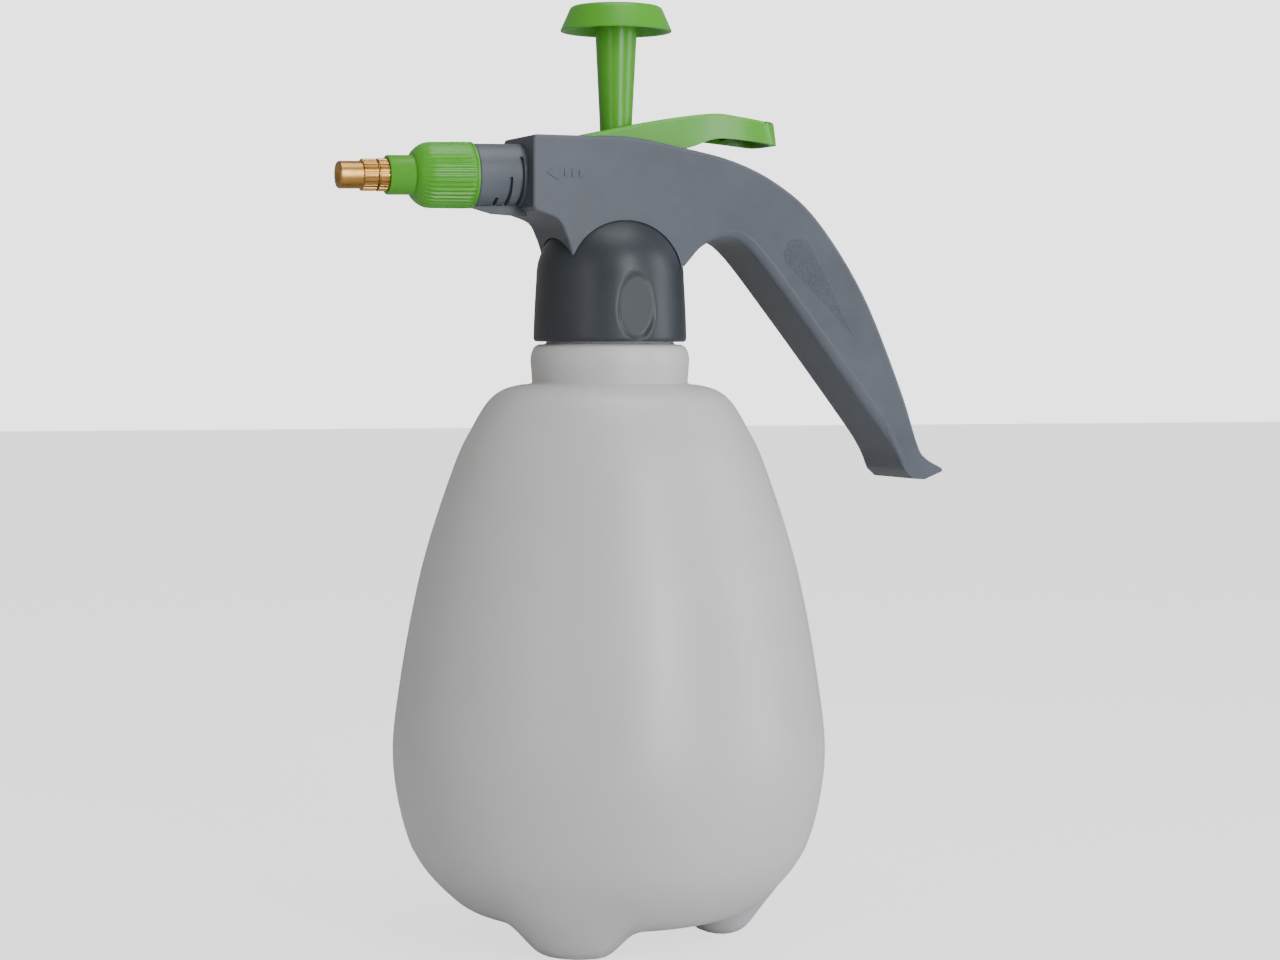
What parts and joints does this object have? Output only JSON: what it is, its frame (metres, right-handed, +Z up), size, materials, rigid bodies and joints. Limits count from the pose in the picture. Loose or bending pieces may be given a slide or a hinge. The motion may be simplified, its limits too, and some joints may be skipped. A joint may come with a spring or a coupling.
{
  "type": "pump sprayer",
  "caption": "Hand pressure sprayer: egg-shaped bottle on moulded feet, screw-on head with curved handle, pump knob, thumb lever and adjustable brass nozzle.",
  "frame": {"origin": "where the bottle's axis meets the surface it stands on", "axes": "+Z up along the bottle's and the pump's axes, -X towards the nozzle, +X towards the handle"},
  "size_m": [0.2083, 0.1426, 0.307],
  "materials": {
    "bottle": "milky translucent polyethylene, softly glossy",
    "collar": "fine satin moulded polypropylene",
    "housing": "satin moulded polypropylene",
    "green_plastic": "semi-gloss moulded polypropylene",
    "white_plastic": "natural moulded polyethylene",
    "blue_plastic": "moulded polypropylene",
    "brass": "turned and knurled, lightly worn",
    "rubber": "matte nitrile",
    "steel": "drawn stainless wire"
  },
  "bodies": {
    "bottle": {"bottle": "bottle"},
    "head": {"head_housing": "housing", "neck_gasket": "rubber", "pump_cylinder": "white_plastic", "rod_guide": "white_plastic", "cylinder_foot_cap": "blue_plastic", "check_valve": "rubber", "dip_tube": "white_plastic", "dip_tube_filter": "white_plastic", "inlet_nipple": "white_plastic", "valve_seat": "brass", "valve_spring": "steel", "stem_o_ring": "rubber", "valve_gland": "white_plastic", "nozzle_nut": "green_plastic", "nozzle_stem": "brass", "nozzle_o_ring": "rubber", "nozzle_washer": "rubber", "swirl_core": "white_plastic"},
    "collar": {"collar_nut": "collar"},
    "pump": {"pump_handle": "green_plastic", "piston_rod": "white_plastic", "piston": "white_plastic", "piston_seal": "rubber"},
    "lever": {"trigger_lever": "green_plastic"},
    "valve": {"valve_stem": "brass", "valve_washer": "rubber"},
    "nozzle": {"nozzle_cap": "brass"}
  },
  "joints": [
    {"name": "head_lift", "type": "slide", "parent": "bottle", "child": "head", "axis": [0, 0, 1], "range_m": [0, 0.0075]},
    {"name": "collar_turn", "type": "hinge", "parent": "head", "child": "collar", "pos_m": [0, 0, 0.21], "axis": [0, 0, 1], "range_deg": [0, 541]},
    {"name": "pump_stroke", "type": "slide", "parent": "head", "child": "pump", "axis": [0, 0, 1], "range_m": [0, 0.105]},
    {"name": "lever_press", "type": "hinge", "parent": "head", "child": "lever", "pos_m": [-0.024, 0, 0.2566], "axis": [0, 1, 0], "range_deg": [0, 6], "stiffness_Nm_per_rad": 3, "springref_deg": -4.58},
    {"name": "valve_open", "type": "slide", "parent": "head", "child": "valve", "axis": [0, 0, -1], "range_m": [0, 0.00136], "deforming": ["valve_spring"]},
    {"name": "nozzle_turn", "type": "hinge", "parent": "head", "child": "nozzle", "pos_m": [-0.0886, 0, 0.24956], "axis": [-0.9998, 0, -0.0209], "range_deg": [0, 360]}
  ],
  "couplings": [
    {"joint": "collar_turn", "follows": "head_lift", "rad_per_m": 1256.6},
    {"joint": "valve_open", "follows": "lever_press", "m_per_rad": 0.0128}
  ]
}
